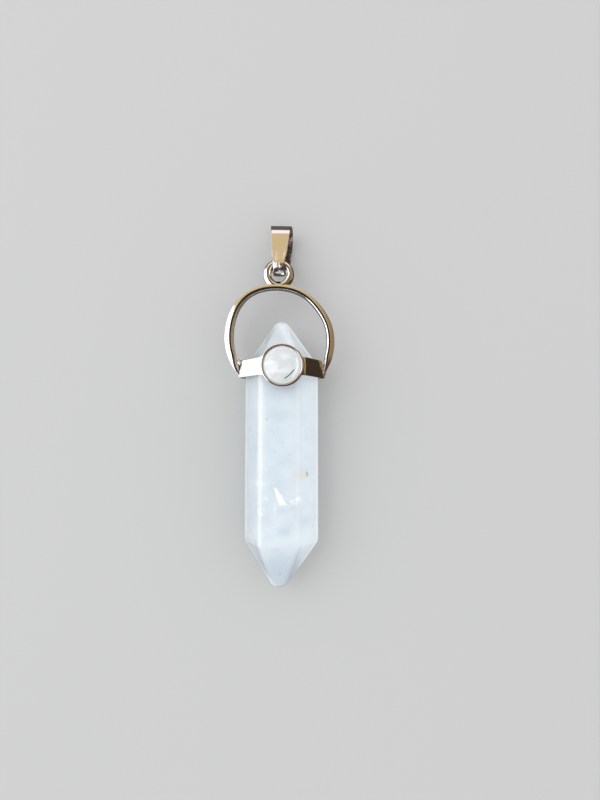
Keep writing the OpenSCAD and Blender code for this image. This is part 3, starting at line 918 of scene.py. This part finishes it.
# how far out, at which angle, over how many degrees
HOOP_BULGES = [(0.5, 127, 20), (-0.16, 38, 12), (0.52, -45, 33), (0.43, HOOP_FEET[0], 3.1)]
LEFT_AT = (165, 35)
CREST = 0.62  # where the wire is deepest, as a share of its thickness from the outside
FRONT_R = 1.36
OUTER_SHARE, INNER_SHARE, BACK_SHARE = 0.09, 0.18, 0.18  # radii of the corners, as parts of the thickness
DOME_STEPS, INNER_STEPS, CORNER_STEPS = 12, 5, 3
FRONT = Vector((0, 0, 1))


def swell(angle, middle, spread):
    return math.exp(-((angle - middle) / spread) ** 2 / 2)


def hoop_out(angle):
    """Outer radius: bulged at the upper left, pressed in at the upper right, spread at the right foot."""
    return HOOP_R + sum(out * swell(angle, at, spread) for out, at, spread in HOOP_BULGES)


def foot_fade(angle):
    share = min(1, max(0, min(angle - HOOP_FEET[0], HOOP_FEET[1] - angle) / FOOT_TAPER))
    return share * share * (3 - 2 * share)


def hoop_thick(angle):
    full = HOOP_TOP_T + (HOOP_SIDE_T - HOOP_TOP_T) * (1 - max(0, math.sin(math.radians(angle))))
    full += HOOP_LEFT_T * swell(angle, *LEFT_AT)
    return FOOT_T + (full - FOOT_T) * foot_fade(angle)


def hoop_place(angle, reach):
    turn = math.radians(angle)
    return HOOP_AT + Vector((math.cos(turn), math.sin(turn), 0)) * reach


def arc(across, deep, radius, begin, end, steps):
    """Points of an arc in the outline's plane: outwards from the crest, and towards the front."""
    turns = [begin + (end - begin) * step / steps for step in range(steps + 1)]
    return [(across + radius * math.cos(turn), deep + radius * math.sin(turn)) for turn in turns]


def hoop_outline(thick, half):
    """Flat back, rounded corners and a low dome, for a wire of this thickness and half depth."""
    outer_r, inner_r, back_r = OUTER_SHARE * thick, INNER_SHARE * thick, BACK_SHARE * thick
    outer_at, inner_at = CREST * thick - outer_r, inner_r - (1 - CREST) * thick
    outer_turn = math.acos(outer_at / (FRONT_R - outer_r))
    inner_turn = math.acos(inner_at / (FRONT_R - inner_r))
    dome_at = half - FRONT_R
    outer_deep = dome_at + (FRONT_R - outer_r) * math.sin(outer_turn)
    inner_deep = dome_at + (FRONT_R - inner_r) * math.sin(inner_turn)
    back_out = arc(CREST * thick - back_r, back_r - half, back_r, -math.pi / 2, 0, CORNER_STEPS)
    back_in = arc(back_r - (1 - CREST) * thick, back_r - half, back_r, math.pi, 1.5 * math.pi, CORNER_STEPS)
    return (back_out + arc(outer_at, outer_deep, outer_r, 0, outer_turn, CORNER_STEPS)
            + arc(0, dome_at, FRONT_R, outer_turn, inner_turn, DOME_STEPS)[1:-1]
            + arc(inner_at, inner_deep, inner_r, inner_turn, math.pi, INNER_STEPS) + back_in)


hoop = start_loft("hoop")
for step in range(HOOP_STEPS + 1):
    angle = HOOP_FEET[0] + (HOOP_FEET[1] - HOOP_FEET[0]) * step / HOOP_STEPS
    thick = hoop_thick(angle)
    half = (FOOT_DEPTH + (HOOP_DEPTH - FOOT_DEPTH) * foot_fade(angle)) / 2
    crest_r = hoop_out(angle) - CREST * thick
    add_outline(hoop, [hoop_place(angle, crest_r + out) + FRONT * deep
                       for out, deep in hoop_outline(thick, half)])
loft(hoop, closed=False)
smooth(hoop, ROUNDED)
lay_down(hoop, SETTING_FRAME, "pendant", "setting", plating)

# %% [markdown]
# The eye that the bail hangs from is a plain ring of round wire. It is soldered on top of the hoop, and the
# solder has drawn up its sides into a small flared bed. The bed is one more loft, of ovals that narrow as
# they climb.

# %% Eye ring and its bed of solder
EYE_AT = Vector((-0.55, 16.0904, 0))
EYE_RING_R = 1.925
EYE_WIRE_R = 0.675
BED_DEPTH = 1.25
# height along the crystal, half width
BED_SECTIONS = [
    (13.75, 2.1), (14.12, 2.1), (14.28, 2.02), (14.4, 1.93), (14.52, 1.83), (14.64, 1.74), (14.78, 1.66),
]
BED_STEPS = 48

eye = start("eye_ring", bpy.ops.mesh.primitive_torus_add, location=EYE_AT, major_radius=EYE_RING_R,
            minor_radius=EYE_WIRE_R, major_segments=128, minor_segments=40)
bpy.ops.object.mode_set(mode="OBJECT")
smooth(eye, ROUNDED)
lay_down(eye, SETTING_FRAME, "pendant", "setting", plating)

bed = start_loft("eye_solder")
for along, half in BED_SECTIONS:
    middle = Vector((EYE_AT.x, along, 0))
    add_oval(middle, Vector((1, 0, 0)), FRONT, 2 * half, BED_DEPTH, BED_STEPS)
loft(bed, closed=False)
smooth(bed, ROUNDED)
lay_down(bed, SETTING_FRAME, "pendant", "setting", plating)

# %% [markdown]
# Where the hoop's feet meet the collar, a drop of solder is left at each corner. A drop is a small ball that
# has slumped, so each ball is pulled wider one way and flatter the other.

# %% Drops of solder at the hoop's feet
DROP_R = 0.42
DROP_AT = (CORNER_R - 0.16, COLLAR_H / 2 - 0.4)
DROP_SLUMP = (0.85, 1.35, 1.0)

for side, name in ((-1, "left_foot_solder"), (1, "right_foot_solder")):
    drop = start(name, bpy.ops.mesh.primitive_ico_sphere_add, subdivisions=5, radius=DROP_R,
                 location=(side * DROP_AT[0], DROP_AT[1], 0))
    bpy.ops.transform.resize(value=DROP_SLUMP, center_override=(side * DROP_AT[0], DROP_AT[1], 0))
    bpy.ops.object.mode_set(mode="OBJECT")
    smooth(drop, ROUNDED)
    lay_down(drop, SETTING_FRAME, "pendant", "setting", plating)

# %% [markdown]
# The cabochon is a low dome on a straight girdle. A whole ball is cut off level with the top of the girdle,
# and the rim that is left is drawn down to the seat of the cup.

# %% Cabochon
DOME_R = 4.498
DOME_TOP = CUP_TOP + 1.0
GIRDLE_DOWN = 0.12
STONE_GAP = 0.04
GIRDLE_TOP = CUP_TOP - GIRDLE_DOWN
STONE_BASE = CUP_SEAT + STONE_GAP

cabochon = start("cabochon_stone", bpy.ops.mesh.primitive_uv_sphere_add, radius=DOME_R, segments=ROUND_STEPS,
                 ring_count=ROUND_STEPS, location=(0, 0, DOME_TOP - DOME_R))
bpy.ops.mesh.bisect(plane_co=(0, 0, GIRDLE_TOP), plane_no=(0, 0, 1), clear_inner=True)
pick(cabochon, "EDGE", lambda at, edge: edge.is_boundary)
bpy.ops.mesh.extrude_region_move(TRANSFORM_OT_translate={"value": (0, 0, STONE_BASE - GIRDLE_TOP)})
bpy.ops.mesh.edge_face_add()
bpy.ops.object.mode_set(mode="OBJECT")
smooth(cabochon, SHARP)
lay_down(cabochon, SETTING_FRAME, "pendant", "cabochon", milk)

# %% [markdown]
# The bail is a tapered strip bent into a drop: a narrow bend round the eye's wire, a wide end for the chain
# and two straight legs between them. Outlines stand all the way round the drop, each as wide as the strip
# is at that place, and the loft is closed on itself. In the narrow bend the strip's outer side is crowned a
# little, as bent strip is. A bevel then takes the sharpness off its four edges.

# %% Bail
BAIL_LEN = 5.65
STRIP_T = 0.45
SMALL_MID_R = 1.25 + STRIP_T / 2
WIDE_MID_R = 2.95 + STRIP_T / 2
STRIP_EDGE = 0.09
EDGE_ANGLE = math.radians(55)
# distance along the bail from the middle of the narrow bend, width of the strip
STRIP_WIDTHS = [(-1.8, 1.74), (0.0, 2.1), (0.7, 2.46), (9.05, 3.86), (10.0, 4.02)]
LEG_SLANT = math.asin((WIDE_MID_R - SMALL_MID_R) / BAIL_LEN)
LEG_STEPS, WIDE_STEPS, NARROW_STEPS = 10, 48, 40
CROWN, BEND_CROWN = 0.015, 0.08
CROWN_TO, CROWN_OVER = 0.6, 1.6
CROWN_SHARES = [1, 0.75, 0.5, 0.25, 0, -0.25, -0.5, -0.75, -1]


def strip_width(along):
    for (low, low_wide), (high, high_wide) in zip(STRIP_WIDTHS, STRIP_WIDTHS[1:]):
        if along <= high:
            return low_wide + (high_wide - low_wide) * max(0, (along - low) / (high - low))
    return STRIP_WIDTHS[-1][1]


def round_the_drop():
    """Places and outward directions round the drop: wide end, back leg, narrow bend, front leg."""
    turn_over = math.pi / 2 + LEG_SLANT
    for step in range(WIDE_STEPS + 1):
        yield BAIL_LEN, WIDE_MID_R, turn_over * (1 - 2 * step / WIDE_STEPS)
    for step in range(1, LEG_STEPS):
        share = step / LEG_STEPS
        yield BAIL_LEN * (1 - share), WIDE_MID_R + (SMALL_MID_R - WIDE_MID_R) * share, -turn_over
    for step in range(NARROW_STEPS + 1):
        yield 0, SMALL_MID_R, -turn_over - 2 * (math.pi - turn_over) * step / NARROW_STEPS
    for step in range(1, LEG_STEPS):
        share = step / LEG_STEPS
        yield BAIL_LEN * share, SMALL_MID_R + (WIDE_MID_R - SMALL_MID_R) * share, turn_over


def strip_outline(half, crown):
    """Corners of the strip's outline, across it and outwards, with the outer side a little crowned."""
    outside = [(half * share, STRIP_T / 2 - crown * share * share) for share in CROWN_SHARES]
    return [(-half, -STRIP_T / 2), (half, -STRIP_T / 2)] + outside


bail = start_loft("bail_loop")
for centre, reach, turn in round_the_drop():
    outward = Vector((0, math.cos(turn), math.sin(turn)))
    middle = Vector((0, centre, 0)) + outward * reach
    crown = CROWN + BEND_CROWN * min(1, max(0, (CROWN_TO - middle.y) / CROWN_OVER)) ** 2
    add_outline(bail, [middle + Vector((across, 0, 0)) + outward * out
                       for across, out in strip_outline(strip_width(middle.y) / 2, crown)])
loft(bail, closed=True)
round_edges(bail, STRIP_EDGE, 4, EDGE_ANGLE)
smooth(bail, SHARP)
lay_down(bail, BAIL_FRAME, "bail", "bail", bail_plating)
